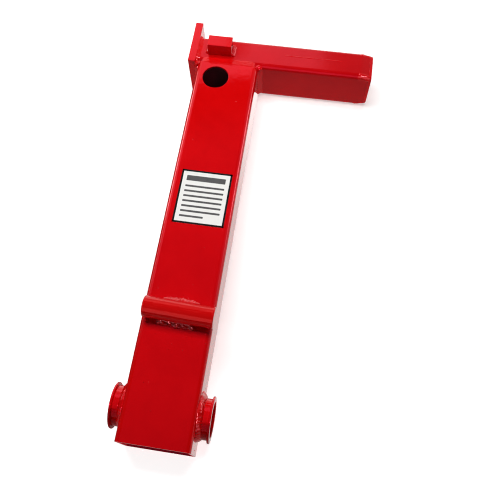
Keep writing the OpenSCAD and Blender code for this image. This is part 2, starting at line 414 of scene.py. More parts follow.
def paint(name, peel=1.0, runs=1.0, rough=0.045, edge=0.9, shaded_inside=False, tint=(1.0, 0.055, 0.14), low_shaded_and_dull=False, dull_inside=0.0, painted_shade_factor=1.0):
    """Gloss red enamel sprayed over steel: tone drift, orange peel, dust nibs, thin edges, a few rub marks.
    shaded_inside leaves the inside of the long tube in mill scale painted near black: part the scale's own colour,
    part painted shade of the hollow, with some overspray by its open end.
    low_shaded_and_dull darkens the sleeve and its rings on the side away from the arm, as painted shade, and gives
    that side a duller gloss.
    dull_inside leaves the faces nearer the middle than that distance, in mm, without gloss: dry overspray."""
    mat = bpy.data.materials.new(name)
    N = Net(mat)
    out = N.n("ShaderNodeOutputMaterial")
    p = N.n("ShaderNodeBsdfPrincipled")
    N.link(p.outputs[0], out.inputs["Surface"])
    obj = N.object_coords()
    # colour: slow drift of the coat's thickness, cloudy overspray, thin paint on the edges
    drift = N.remap(N.noise(obj, 7.0, 2.0, 0.5), 0.35, 0.65, 0.0, 1.0, True)
    cloud = N.remap(N.noise(obj, 46.0, 4.0, 0.6), 0.42, 0.72, 0.0, 0.35)
    # a factor below 1 darkens the whole red coat: painted shade for a piece that gets less light
    red_a, red_b, red_thin = (tuple(c * painted_shade_factor for c in q) for q in (RED_A, RED_B, RED_THIN))
    col = N.mix(drift, red_a, red_b)
    col = N.mix(cloud, col, red_thin)
    bev = N.n("ShaderNodeBevel", samples=4)
    bev.inputs["Radius"].default_value = edge * MM
    geo = N.n("ShaderNodeNewGeometry")
    dot = N.n("ShaderNodeVectorMath", operation="DOT_PRODUCT")
    N.link(bev.outputs["Normal"], dot.inputs[0])
    N.link(geo.outputs["Normal"], dot.inputs[1])
    edge_mask = N.remap(dot.outputs["Value"], 0.995, 0.90, 0.0, 1.0, True)
    breakup = N.remap(N.noise(obj, 160.0, 3.0, 0.6), 0.38, 0.62, 0.15, 0.9, True)
    edge_mask = N.math("MULTIPLY", edge_mask, breakup, True)
    col = N.mix(edge_mask, col, RED_EDGE)
    # tiny specks of dust under the coat
    vor = N.n("ShaderNodeTexVoronoi")
    vor.inputs["Scale"].default_value = 95.0
    vor.inputs["Randomness"].default_value = 1.0
    N.link(obj, vor.inputs["Vector"])
    pick = N.n("ShaderNodeSeparateColor")
    N.link(vor.outputs["Color"], pick.inputs[0])
    chosen = N.remap(pick.outputs[0], 0.86, 0.90, 0.0, 1.0)
    nib = N.math("MULTIPLY", N.remap(vor.outputs["Distance"], 0.0, 0.055, 1.0, 0.0, True), chosen, True)
    col = N.mix(N.math("MULTIPLY", nib, 0.5), col, (0.30, 0.001, 0.002))
    inside = None
    # inside of the tube: dark mill scale made near black, partly painted shade of the hollow
    if shaded_inside:
        xyz = N.n("ShaderNodeSeparateXYZ")
        N.link(obj, xyz.inputs[0])
        in_x = N.remap(N.math("ABSOLUTE", xyz.outputs["X"]), (half - 3.6) * MM, (half - 2.2) * MM, 1.0, 0.0)
        in_z = N.remap(N.math("ABSOLUTE", xyz.outputs["Z"]), (z_f - 3.6) * MM, (z_f - 2.2) * MM, 1.0, 0.0)
        in_y = N.remap(xyz.outputs["Y"], (y_arm + 0.5) * MM, (y_arm + 0.9) * MM, 1.0, 0.0)
        inside = N.math("MULTIPLY", N.math("MULTIPLY", in_x, in_z), in_y, True)
        reach = N.math("ADD", xyz.outputs["Y"], N.math("MULTIPLY", N.noise(obj, 38.0, 3.0, 0.6), 0.05))
        spray = N.remap(reach, (y_bot + 20) * MM, (y_bot + 75) * MM, 0.0, 1.0, True)
        scale = N.mix(N.remap(N.noise(obj, 150.0, 4.0, 0.65), 0.4, 0.7, 0.0, 1.0), SCALE_AND_SHADE, SCALE_RUST_AND_SHADE)
        col = N.mix(N.math("MULTIPLY", inside, spray, True), col, scale)
    low = None
    # side away from the arm: darker red as painted shade, and a duller gloss
    if low_shaded_and_dull:
        ysep = N.n("ShaderNodeSeparateXYZ")
        N.link(obj, ysep.inputs[0])
        edge_y = N.math("ADD", ysep.outputs["Y"], N.math("MULTIPLY", N.noise(obj, 60.0, 2.0, 0.5), 0.003))
        low = N.remap(edge_y, -0.0095, -0.0035, 1.0, 0.0, True)
        col = N.mix(low, col, (0.30, 0.0004, 0.0006))
    N.link(col, p.inputs["Base Color"])
    # gloss: uneven, with faint rub marks along the tube
    rub = N.noise(N.object_coords((900.0, 18.0, 900.0)), 1.0, 2.0, 0.5)
    rub = N.remap(rub, 0.63, 0.80, 0.0, 0.10)
    patch = N.remap(N.noise(obj, 13.0, 3.0, 0.55), 0.50, 0.75, 0.0, 1.0, True)
    rub = N.math("MULTIPLY", rub, patch)
    base = N.remap(N.noise(obj, 30.0, 3.0, 0.6), 0.3, 0.7, rough * 0.8, rough * 1.35)
    r = N.math("ADD", base, rub)
    r = N.math("ADD", r, N.math("MULTIPLY", edge_mask, 0.06), True)
    if inside is not None:
        r = N.math("ADD", r, N.math("MULTIPLY", inside, 0.85), True)
    N.link(r, p.inputs["Roughness"])
    # relief: orange peel at two sizes, soft sags, dust nibs
    peel_a = N.noise(obj, 420.0, 2.0, 0.5)
    peel_b = N.noise(obj, 130.0, 2.0, 0.5)
    sag = N.noise(N.object_coords((26.0, 9.0, 26.0)), 1.0, 1.0, 0.4)
    height = N.math("ADD", N.math("MULTIPLY", peel_a, 0.000010 * peel), N.math("MULTIPLY", peel_b, 0.000035 * peel))
    height = N.math("ADD", height, N.math("MULTIPLY", sag, 0.00016 * runs))
    height = N.math("ADD", height, N.math("MULTIPLY", nib, 0.00012))
    bump = N.n("ShaderNodeBump")
    bump.inputs["Strength"].default_value = 1.0
    bump.inputs["Distance"].default_value = 1.0
    N.link(height, bump.inputs["Height"])
    N.link(bump.outputs["Normal"], p.inputs["Normal"])
    p.inputs["IOR"].default_value = 1.50
    p.inputs["Specular IOR Level"].default_value = 0.5
    if low is not None:
        level = N.remap(low, 0.0, 1.0, 0.5, 0.12)
        if dull_inside:
            near_mid = N.remap(N.math("ABSOLUTE", ysep.outputs["X"]), (dull_inside - 0.35) * MM, (dull_inside + 0.35) * MM, 0.10, 1.0, True)
            level = N.math("MULTIPLY", level, near_mid)
        N.link(level, p.inputs["Specular IOR Level"])
    p.inputs["Specular Tint"].default_value = (*tint, 1.0)
    return mat


def film(name, colour, dark, rough, grime=0.3, gloss=0.5):
    """Printed plastic film."""
    mat = bpy.data.materials.new(name)
    N = Net(mat)
    out = N.n("ShaderNodeOutputMaterial")
    p = N.n("ShaderNodeBsdfPrincipled")
    N.link(p.outputs[0], out.inputs["Surface"])
    obj = N.object_coords()
    tone = N.remap(N.noise(obj, 35.0, 4.0, 0.6), 0.35, 0.75, 0.0, grime, True)
    grain = N.remap(N.noise(obj, 700.0, 2.0, 0.6), 0.45, 0.75, 0.0, grime * 0.4)
    col = N.mix(tone, colour, dark)
    col = N.mix(grain, col, dark)
    N.link(col, p.inputs["Base Color"])
    N.link(N.remap(N.noise(obj, 90.0, 3.0, 0.6), 0.3, 0.7, rough * 0.75, rough * 1.3), p.inputs["Roughness"])
    h = N.math("ADD", N.math("MULTIPLY", N.noise(obj, 60.0, 2.0, 0.5), 0.00010), N.math("MULTIPLY", N.noise(obj, 520.0, 2.0, 0.5), 0.000012))
    b = N.n("ShaderNodeBump")
    b.inputs["Distance"].default_value = 1.0
    b.inputs["Strength"].default_value = 0.7
    N.link(h, b.inputs["Height"])
    N.link(b.outputs["Normal"], p.inputs["Normal"])
    p.inputs["IOR"].default_value = 1.46
    p.inputs["Specular IOR Level"].default_value = gloss
    return mat


def floor_paint():
    mat = bpy.data.materials.new("pale_floor")
    N = Net(mat)
    out = N.n("ShaderNodeOutputMaterial")
    p = N.n("ShaderNodeBsdfPrincipled")
    N.link(p.outputs[0], out.inputs["Surface"])
    obj = N.object_coords()
    N.link(N.mix(N.remap(N.noise(obj, 3.0, 3.0, 0.5), 0.35, 0.65, 0.0, 1.0, True), (0.74, 0.74, 0.738), (0.71, 0.71, 0.708)), p.inputs["Base Color"])
    N.link(N.remap(N.noise(obj, 20.0, 3.0, 0.6), 0.3, 0.7, 0.72, 0.85), p.inputs["Roughness"])
    p.inputs["Specular IOR Level"].default_value = 0.1
    p.inputs["Emission Color"].default_value = (1.0, 1.0, 1.0, 1.0)
    far_y = N.n("ShaderNodeSeparateXYZ")
    N.link(obj, far_y.inputs[0])
    near_y = N.remap(far_y.outputs["Y"], -0.44, -0.12, 0.97, 0.47, True)
    dist = N.n("ShaderNodeVectorMath")
    dist.operation = "LENGTH"
    N.link(obj, dist.inputs[0])
    away = N.remap(dist.outputs["Value"], 0.8, 2.4, 0.0, 0.55, True)
    N.link(N.math("ADD", near_y, away), p.inputs["Emission Strength"])
    return mat


def place(ob, mat, slot, *replaced):
    ob.data.materials.clear()
    ob.data.materials.append(mat)
    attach(ob, ROOT)
    if replaced:
        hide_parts(*replaced)
    return ob


# ---------------------------------------------------------------- sizes from the frame
t_lo, t_hi = box_mm("long_tube")
a_lo, a_hi = box_mm("arm_tube")
c_lo, c_hi = box_mm("arm_end_cap")
p_lo, p_hi = box_mm("end_plate")
b_lo, b_hi = box_mm("stop_block")
s_lo, s_hi = box_mm("pivot_sleeve")
f_lo, f_hi = box_mm("right_flange_ring")
l_lo, l_hi = box_mm("label_sheet")
cb_lo, cb_hi = box_mm("cross_bar")
mounts = {m["name"]: m for m in frame["record"]["mounts"]}
W, D = t_hi[0] - t_lo[0], t_hi[2] - t_lo[2]
y_bot, y_arm = t_lo[1], t_hi[1]
z_f = t_hi[2]
half = W / 2
TUBE_R, WALL, ARM_R = 9.0, 4.76, 7.5
TIP_LEN, TIP_DROP, TIP_PINCH = 18.0, 4.4, 0.7
y_top = y_arm + 50.8
ym = (y_arm + y_top) / 2
x_plate = p_hi[0]
x_end = c_hi[0]
x_cap = c_lo[0]
x_tip = x_end - TIP_LEN
hole_x = mounts["pin_hole"]["pos_m"][0] * 1000
hole_y = mounts["pin_hole"]["pos_m"][1] * 1000
hole_r = mounts["pin_hole"]["dims"]["r_mm"]
bore_r = mounts["pivot_bore"]["dims"]["r_mm"]
sleeve_r = s_hi[2]

# ---------------------------------------------------------------- the materials in use
red = paint("red_enamel")
# inside of the long tube left as scale, darkened as painted shade
red_tube = paint("red_enamel_on_open_tube", shaded_inside=True)
# the arm's coat darkened to 0.82 of the others: painted shade
red_arm = paint("red_enamel_on_arm", shaded_inside=True, painted_shade_factor=0.82)
# the sleeve's side away from the arm painted darker, as shade
red_hub = paint("red_enamel_on_sleeve", peel=0.8, runs=0.5, low_shaded_and_dull=True)
red_bar = paint("red_enamel_on_round_bar", peel=1.2, runs=0.6, rough=0.075, tint=(0.95, 0.10, 0.10))
red_weld = paint("red_enamel_on_weld", peel=0.6, runs=0.3, rough=0.030, edge=0.3, tint=(1.0, 0.24, 0.30))
# the rings' side away from the arm painted darker, as shade
red_ring = paint("red_enamel_on_flange_rings", peel=0.9, runs=0.4, low_shaded_and_dull=True, dull_inside=66.0)
red_cut = paint("red_enamel_on_cut_steel", peel=1.4, runs=0.5, rough=0.07, edge=1.1)
white_film = film("label_white", (0.80, 0.805, 0.79), (0.66, 0.665, 0.65), 0.22)
black_ink = film("label_black", (0.0015, 0.0015, 0.002), (0.008, 0.008, 0.009), 0.34, gloss=0.12)
grey_ink = film("label_grey", (0.075, 0.075, 0.078), (0.13, 0.13, 0.133), 0.34, gloss=0.15)

# ---------------------------------------------------------------- long tube
def ring_y(w, d, r, y):
    return [(u, y, v) for u, v in rr(w, d, r)]


ys = [y_bot, y_bot + 60, y_bot + 200, y_bot + 330, y_bot + 460, y_arm]
tube = shell("long_tube_shell", [ring_y(W, D, TUBE_R, y) for y in ys],
             [ring_y(W - 2 * WALL, D - 2 * WALL, TUBE_R - WALL, y) for y in ys])


def cyl(name, r, p0, p1, n=96):
    p0, p1 = Vector(p0), Vector(p1)
    ax = (p1 - p0).normalized()
    u = ax.orthogonal().normalized()
    w = ax.cross(u)
    rings = []
    for p in (p0, p1):
        rings.append([tuple(p + u * (r * math.cos(2 * math.pi * k / n)) + w * (r * math.sin(2 * math.pi * k / n))) for k in range(n)])
    return shell(name, rings, None)


cut(tube, cyl("c1", hole_r, (hole_x, hole_y, -60), (hole_x, hole_y, 60)))
cut(tube, cyl("c2", sleeve_r, (-80, 0, 0), (80, 0, 0)))
rounded(tube, 0.35)
place(tube, red_tube, "red_paint", "long_tube")

# ---------------------------------------------------------------- arm tube with its drawn-in tip
def drawn(x):
    """Share of the tip's draw-in at x, with a soft knee."""
    u = x - x_tip
    return (math.sqrt(u * u + 2.2) + u) / (2 * TIP_LEN)


def ring_x(h, d, r, x):
    return [(x, ym + u, v) for u, v in rr(h, d, r)]


def tip_ring(x, inset=0.0, cut_back=0.0):
    k = drawn(x)
    g = inset + cut_back
    return ring_x(50.8 - 2 * (TIP_PINCH * k + g), D - 2 * (TIP_DROP * k + g), max(1.4, ARM_R - 1.5 * k - inset), x)


xs = [x_plate, x_plate + 60, x_plate + 140, x_plate + 220] + [x_tip - 6 + k * 1.5 for k in range(0, 9)] + [x_tip + 9, x_tip + 11.4, x_cap]
arm = shell("arm_tube_shell", [tip_ring(x) for x in xs], [tip_ring(x, WALL) for x in xs])
rounded(arm, 0.5)
place(arm, red_arm, "red_paint", "arm_tube")

# cap: follows the tip, edges dressed round after welding
RND = 1.3
cap_rings = [tip_ring(x_cap + 0.15), tip_ring(x_cap + 0.6), tip_ring(x_end - RND)]
for k in range(1, 7):
    a = math.radians(90.0 * k / 6)
    cap_rings.append(tip_ring(x_end - RND + RND * math.sin(a), 0.0, RND * (1 - math.cos(a))))
last = cap_rings[-1]
for f in (0.8, 0.5, 0.2):
    cap_rings.append([(x_end, ym + (p[1] - ym) * f, p[2] * f) for p in last])
cap = shell("arm_end_cap_dressed", cap_rings, None)
place(cap, red_cut, "red_paint", "arm_end_cap")


# ---------------------------------------------------------------- sawn plate and block
def sawn(name, lo, hi, width, wave, seed, n=(6, 14, 14)):
    """A sawn piece of bar: a subdivided box whose faces wander a little, with broken edges."""
    bm = bmesh.new()
    verts = {}
    nx, ny, nz_ = n

    def vid(i, j, k):
        if (i, j, k) not in verts:
            verts[(i, j, k)] = bm.verts.new((lo[0] + (hi[0] - lo[0]) * i / nx, lo[1] + (hi[1] - lo[1]) * j / ny, lo[2] + (hi[2] - lo[2]) * k / nz_))
        return verts[(i, j, k)]

    for i in (0, nx):
        for j in range(ny):
            for k in range(nz_):
                bm.faces.new([vid(i, j, k), vid(i, j + 1, k), vid(i, j + 1, k + 1), vid(i, j, k + 1)])
    for j in (0, ny):
        for i in range(nx):
            for k in range(nz_):
                bm.faces.new([vid(i, j, k), vid(i + 1, j, k), vid(i + 1, j, k + 1), vid(i, j, k + 1)])
    for k in (0, nz_):
        for i in range(nx):
            for j in range(ny):
                bm.faces.new([vid(i, j, k), vid(i + 1, j, k), vid(i + 1, j + 1, k), vid(i, j + 1, k)])
    cx, cy, cz = [(lo[q] + hi[q]) / 2 for q in range(3)]
    for v in bm.verts:
        g = wave * (0.5 + 0.5 * nz(v.co, 22.0, seed))
        for q, c in ((0, cx), (1, cy), (2, cz)):
            v.co[q] += -g if v.co[q] > c + 1e-6 else (g if v.co[q] < c - 1e-6 else 0)
    pts = [tuple(v.co) for v in bm.verts]
    bm.verts.index_update()
    fs = [tuple(v.index for v in f.verts) for f in bm.faces]
    bm.free()
    ob = add_mesh(name, pts, fs)
    return rounded(ob, width, 4, 60.0)


plate = sawn("end_plate_sawn", p_lo, p_hi, 0.7, 0.10, 3, (4, 12, 12))
place(plate, red_cut, "red_paint", "end_plate")
block = sawn("stop_block_sawn", [b_lo[0], b_lo[1], b_lo[2] - 0.3], b_hi, 0.7, 0.10, 8, (8, 5, 6))
place(block, red_cut, "red_paint", "stop_block")

# ---------------------------------------------------------------- round parts
BAR_R = (cb_hi[2] - cb_lo[2]) / 2
BAR_LEN = 99.4
BAR_LEAN = math.radians(-1.95)
bar_c = ((cb_lo[0] + cb_hi[0]) / 2, (cb_lo[1] + cb_hi[1]) / 2, z_f + BAR_R)
sec = [(-BAR_LEN / 2, 0)]
for k in range(7):
    a = math.radians(90.0 * k / 6)
    sec.append((-BAR_LEN / 2 + 1.7 * (1 - math.cos(a)), BAR_R - 1.7 + 1.7 * math.sin(a)))
for k in range(1, 12):
    sec.append((-BAR_LEN / 2 + 1.7 + (BAR_LEN - 3.4) * k / 12, BAR_R))
for k in range(7):
    a = math.radians(90.0 - 90.0 * k / 6)
    sec.append((BAR_LEN / 2 - 1.7 * (1 - math.cos(a)), BAR_R - 1.7 + 1.7 * math.sin(a)))
sec.append((BAR_LEN / 2, 0))
bar = lathe_x("cross_bar_round", sec, bar_c, 128, BAR_LEAN)
bw = bar.modifiers.new("normals", "WEIGHTED_NORMAL")
bw.weight = 70
place(bar, red_bar, "red_paint", "cross_bar")

sl = round_poly([(s_lo[0], bore_r), (s_hi[0], bore_r), (s_hi[0], sleeve_r), (s_lo[0], sleeve_r)], [0.8, 0.8, 0.35, 0.35], 5)
sleeve = lathe_x("pivot_sleeve_turned", sl, (0, 0, 0), 144)
sw = sleeve.modifiers.new("normals", "WEIGHTED_NORMAL")
sw.weight = 70
place(sleeve, red_hub, "red_paint", "pivot_sleeve")

FL_R = f_hi[2]
for side, node in ((-1, "left_flange_ring"), (1, "right_flange_ring")):
    x1, x0 = side * f_hi[0], side * f_lo[0]
    pts = round_poly([(x0, sleeve_r - 0.1), (x1, sleeve_r - 0.1), (x1, FL_R), (x0, FL_R)], [0.2, 0.3, 1.2, 1.0], 6)
    ringo = lathe_x(node + "_turned", pts, (0, 0, 0), 144)
    m = ringo.modifiers.new("normals", "WEIGHTED_NORMAL")
    m.weight = 70
    place(ringo, red_ring, "red_paint", node)

# ---------------------------------------------------------------- welds
# inner corner of the L, wrapped round the front corner
path, L = line((half, y_arm, -31.0), (half, y_arm, 33.0), (1, 0, 0), (0, -1, 0))
w1 = bead("w", path, L, 7.4, 6.6, pitch=5.0, amp=0.07, seed=4, k=1.95, wobble=0.06, tail=0.2)
w1b = blob("wb", (half + 1.4, y_arm - 0.3, 34.0), (5.6, 5.0, 4.4), 5, 4, 0.22)
w1c = blob("wc", (half - 2.6, y_arm - 2.0, 36.0), (3.4, 2.6, 2.6), 8, 4, 0.25)
inner_w = join("inner_corner_bead", [w1, w1b, w1c])
place(inner_w, red, "red_paint_weld", "inner_corner_weld")

# outer side: gap between plate and long tube, fillet below the plate
path, L = line((-half, p_lo[1], -34.0), (-half, p_lo[1], 31.0), (-1, 0, 0), (0, -1, 0))
w2 = bead("w", path, L, 7.4, 5.4, pitch=3.0, amp=0.45, seed=7, k=1.5)
w2b = shell("wf", [[(-half - 3.0, p_lo[1] + 0.4, z), (-half + 0.2, p_lo[1] + 0.4, z), (-half + 0.2, y_arm + 0.1, z), (-half - 3.0, y_arm + 0.1, z)] for z in (-32.0, 31.0)], None)
outer_w = join("outer_corner_bead", [w2, w2b])
place(outer_w, red_weld, "red_paint_weld", "outer_corner_weld")

# end plate: along the top of the arm, up its front, and the lower front corner
path, L = line((x_plate, y_top, -33.0), (x_plate, y_top, 34.0), (1, 0, 0), (0, 1, 0))
w3 = bead("plate_top_bead", path, L, 6.6, 6.6, pitch=2.8, amp=0.35, seed=11, k=2.0)
place(w3, red_weld, "red_paint_weld", "plate_top_weld")
path, L = line((x_plate, y_arm + 4.0, z_f), (x_plate, y_top - 4.0, z_f), (1, 0, 0), (0, 0, 1))
w4 = bead("plate_front_bead", path, L, 7.0, 3.1, pitch=2.6, amp=0.22, seed=13, k=2.1, wobble=0.22)
place(w4, red_weld, "red_paint_weld", "plate_front_weld")
w5 = blob("w", (x_plate + 1.4, y_arm + 1.0, z_f - 1.0), (3.4, 4.2, 3.4), 21, 4, 0.25)
w5b = blob("w", (x_plate + 1.6, y_arm - 4.2, z_f - 3.2), (3.2, 3.6, 3.6), 23, 4, 0.25)
w5c = blob("w", (x_plate + 3.4, y_arm - 2.4, z_f - 2.6), (5.2, 3.2, 2.9), 25, 4, 0.22)
low_w = join("plate_lower_bead", [w5, w5b, w5c])
place(low_w, red_weld, "red_paint_weld", "plate_lower_weld")

# stop block: left and right sides
path, L = line((b_lo[0], b_lo[1] + 0.5, z_f), (b_lo[0], b_hi[1] - 1.0, z_f), (-1, 0, 0), (0, 0, 1))
w6 = bead("block_left_bead", path, L, 5.0, 5.0, pitch=3.4, amp=0.20, seed=31, k=1.8)
place(w6, red, "red_paint_weld", "block_left_weld")
path, L = line((b_hi[0], b_lo[1] - 0.8, z_f), (b_hi[0], b_hi[1] + 0.6, z_f), (1, 0, 0), (0, 0, 1))
w7 = bead("block_right_bead", path, L, 6.0, 5.0, pitch=4.0, amp=0.24, seed=33, k=1.8, lump=0.25)
place(w7, red, "red_paint_weld", "block_right_weld")


# cross bar: rough beads in the grooves above and below it, each a fillet with coins of metal laid along it
def groove(name, side, x0, x1, toe, rise, seed, pitch, coin, slant):
    ca, sa = math.cos(BAR_LEAN), math.sin(BAR_LEAN)
    ux, uy, uz = Vector((ca, sa, 0)), Vector((-sa, ca, 0)) * side, Vector((0, 0, 1))
    y_in = math.sqrt(BAR_R ** 2 - (BAR_R - rise) ** 2)
    base = Vector((bar_c[0], bar_c[1], z_f))

    def path(s):
        return base + ux * (x0 + s) + uy * (y_in - 0.8), uy, uz
    parts = [bead("w", path, x1 - x0, BAR_R + toe - y_in - 0.2, rise - 0.5, pitch=pitch / 2, amp=0.2, seed=seed, k=1.6,
                  cap=5.0, wobble=0.22, lump=0.3, crescent=1.0, step=0.5, across=12, bury=0.3, tail=0.3)]
    rnd_ = random.Random(seed)
    n = int((x1 - x0 - 4) / pitch) + 1
    mid = (y_in + BAR_R + toe) / 2
    for k in range(n):
        s = x0 + 3.2 + (x1 - x0 - 6.4) * k / (n - 1) + rnd_.uniform(-1.7, 1.7)
        c = base + ux * s + uy * (mid - 0.6 + rnd_.uniform(-0.7, 0.7)) + uz * (rise * 0.36 + rnd_.uniform(-0.4, 0.4))
        out = (uy * 0.62 + uz * 0.78).normalized()
        along = (ux + out * slant).normalized()
        up_ = out.cross((along + out * rnd_.uniform(-0.2, 0.2)).normalized()).normalized()
        nrm = along.cross(up_).normalized()
        if nrm.dot(out) < 0:
            nrm = -nrm
        rx, ry, rn = coin[0] * rnd_.uniform(0.85, 1.12), coin[1] * rnd_.uniform(0.85, 1.15), coin[2] * rnd_.uniform(0.85, 1.15)
        bm = bmesh.new()
        bmesh.ops.create_icosphere(bm, subdivisions=4, radius=1.0)
        verts = []
        for v in bm.verts:
            d = v.co.normalized()
            r = 1 + 0.10 * noise.noise(d * 2.1 + Vector((k * 2.7, seed, 0)))
            # a coin with a raised rim and a slight hollow in the middle
            rho = math.sqrt(d.x * d.x + d.y * d.y)
            h = math.copysign(max(0.0, 1 - rho ** 3.2) ** 0.5, d.z)
            h = h * (0.80 + 0.20 * rho * rho + 0.05 * math.cos(rho * 11.0))
            p = c + along * (d.x * rx * r) + up_ * (d.y * ry * r) + nrm * (h * rn)
            verts.append(tuple(p))
        faces = [tuple(v.index for v in f.verts) for f in bm.faces]
        bm.free()
        parts.append(add_mesh("w", verts, faces))
    return join(name, parts)


up_w = groove("bar_upper_bead", 1, -27.0, 20.5, 9.6, 7.6, 41, 11.0, (7.6, 4.6, 2.2), 0.20)
place(up_w, red_weld, "red_paint_weld", "bar_upper_weld")
lo_w = groove("bar_lower_bead", -1, -29.0, 19.5, 3.8, 7.0, 47, 9.4, (5.8, 4.2, 2.4), 0.45)
place(lo_w, red_weld, "red_paint_weld", "bar_lower_weld")


# pivot sleeve: ring beads that follow the side of the tube
def side_drop(z):
    q = abs(z) - (D / 2 - TUBE_R)
    if q <= 0:
        return 0.0
    q = min(q, TUBE_R * 0.97)
    return TUBE_R - math.sqrt(TUBE_R ** 2 - q * q)


for side, node, seed in ((-1, "left_sleeve_weld", 61), (1, "right_sleeve_weld", 67)):
    r0 = sleeve_r
    L = 2 * math.pi * (r0 + 3)

    def path(s, side=side, L=L, r0=r0):
        a = 2 * math.pi * s / L
        u = Vector((0, math.cos(a), math.sin(a)))
        return Vector((side * half, 0, 0)) + u * r0, u, Vector((side, 0, 0))

    def post(P, t, side=side, r0=r0):
        # slimmer on the side away from the arm
        q = math.hypot(P.y, P.z)
        low = max(0.0, min(1.0, 0.5 - 0.9 * P.y / q))
        if q > r0:
            q2 = r0 + (q - r0) * (1.0 - 0.42 * low)
            P = Vector((P.x, P.y * q2 / q, P.z * q2 / q))
        return Vector((P.x - side * side_drop(P.z) * (1 - t) ** 1.2, P.y, P.z))

    ww = bead(node.replace("weld", "bead"), path, L, 7.8, 6.6, pitch=4.2, amp=0.30 if side > 0 else 0.16, seed=seed, k=1.45, closed=True, wobble=0.16, lump=0.30, post=post, across=12)
    place(ww, red_weld if side > 0 else red, "red_paint_weld", node)


# seams ground flush on the wide faces: a faint pad with grinder marks
def flush_seam(name, side, x0, x1, y0, y1, seed):
    nx, ny = 180, 40
    verts, faces = [], []
    for layer in (0, 1):
        for i in range(nx + 1):
            for j in range(ny + 1):
                x = x0 + (x1 - x0) * i / nx
                wob = 1.3 * nz((x, 0, 0), 9.0, seed) + 0.6 * nz((x, 0, 0), 3.0, seed + 1)
                y = y0 + (y1 - y0) * j / ny + wob * (1 if j < ny / 2 else -0.6) * abs(2 * j / ny - 1)
                u = min(i, nx - i) / nx * 12
                v = min(j, ny - j) / ny * 5
                e = min(1.0, u) * min(1.0, v)
                e = e * e * (3 - 2 * e)
                h = -0.12 + 0.34 * e + 0.05 * e * nz((x * 0.4, y * 2.2, 0), 1.6, seed + 2) + 0.10 * e * nz((x, y, 0), 6.0, seed + 3)
                verts.append((x, y, side * (z_f + h)) if layer == 0 else (x, y, side * (z_f - 1.2)))
    m = (nx + 1) * (ny + 1)
    g = lambda i, j, l=0: l * m + i * (ny + 1) + j
    for i in range(nx):
        for j in range(ny):
            faces.append((g(i, j), g(i + 1, j), g(i + 1, j + 1), g(i, j + 1)))
            faces.append((g(i, j, 1), g(i, j + 1, 1), g(i + 1, j + 1, 1), g(i + 1, j, 1)))
    for i in range(nx):
        faces.append((g(i, 0), g(i, 0, 1), g(i + 1, 0, 1), g(i + 1, 0)))
        faces.append((g(i, ny), g(i + 1, ny), g(i + 1, ny, 1), g(i, ny, 1)))
    for j in range(ny):
        faces.append((g(0, j), g(0, j + 1), g(0, j + 1, 1), g(0, j, 1)))
        faces.append((g(nx, j), g(nx, j, 1), g(nx, j + 1, 1), g(nx, j + 1)))
    pad = add_mesh(name, verts, faces)
    # metal that fills the groove under the rounded edge of the arm
    prof = [(y_arm - 0.2, z_f - 0.5), (y_arm + ARM_R + 0.5, z_f - 0.5), (y_arm + ARM_R + 0.5, z_f - 1.4), (y_arm + 3.4, z_f - 2.6), (y_arm + 1.2, z_f - 5.0), (y_arm - 0.2, z_f - 7.8)]
    rings = [[(x, y, side * z) for y, z in prof] for x in (x0 + 0.5, x1 - 0.5)]
    fill = shell(name + "_fill", rings, None)
    return join(name, [pad, fill])


fs = flush_seam("arm_front_seam_ground", 1, -43.5, 44.5, y_arm - 3.2, y_arm + 9.4, 71)
place(fs, red_weld, "red_paint_weld", "arm_front_seam_weld")
bs = flush_seam("arm_back_seam_ground", -1, -42.0, 42.0, y_arm - 2.6, y_arm + 9.0, 77)
# the back face is what the arm lies on, so this seam stays inside it
for v in bs.data.vertices:
    v.co.z = max(v.co.z, -z_f * MM)
place(bs, red_weld, "red_paint_weld", "arm_back_seam_weld")

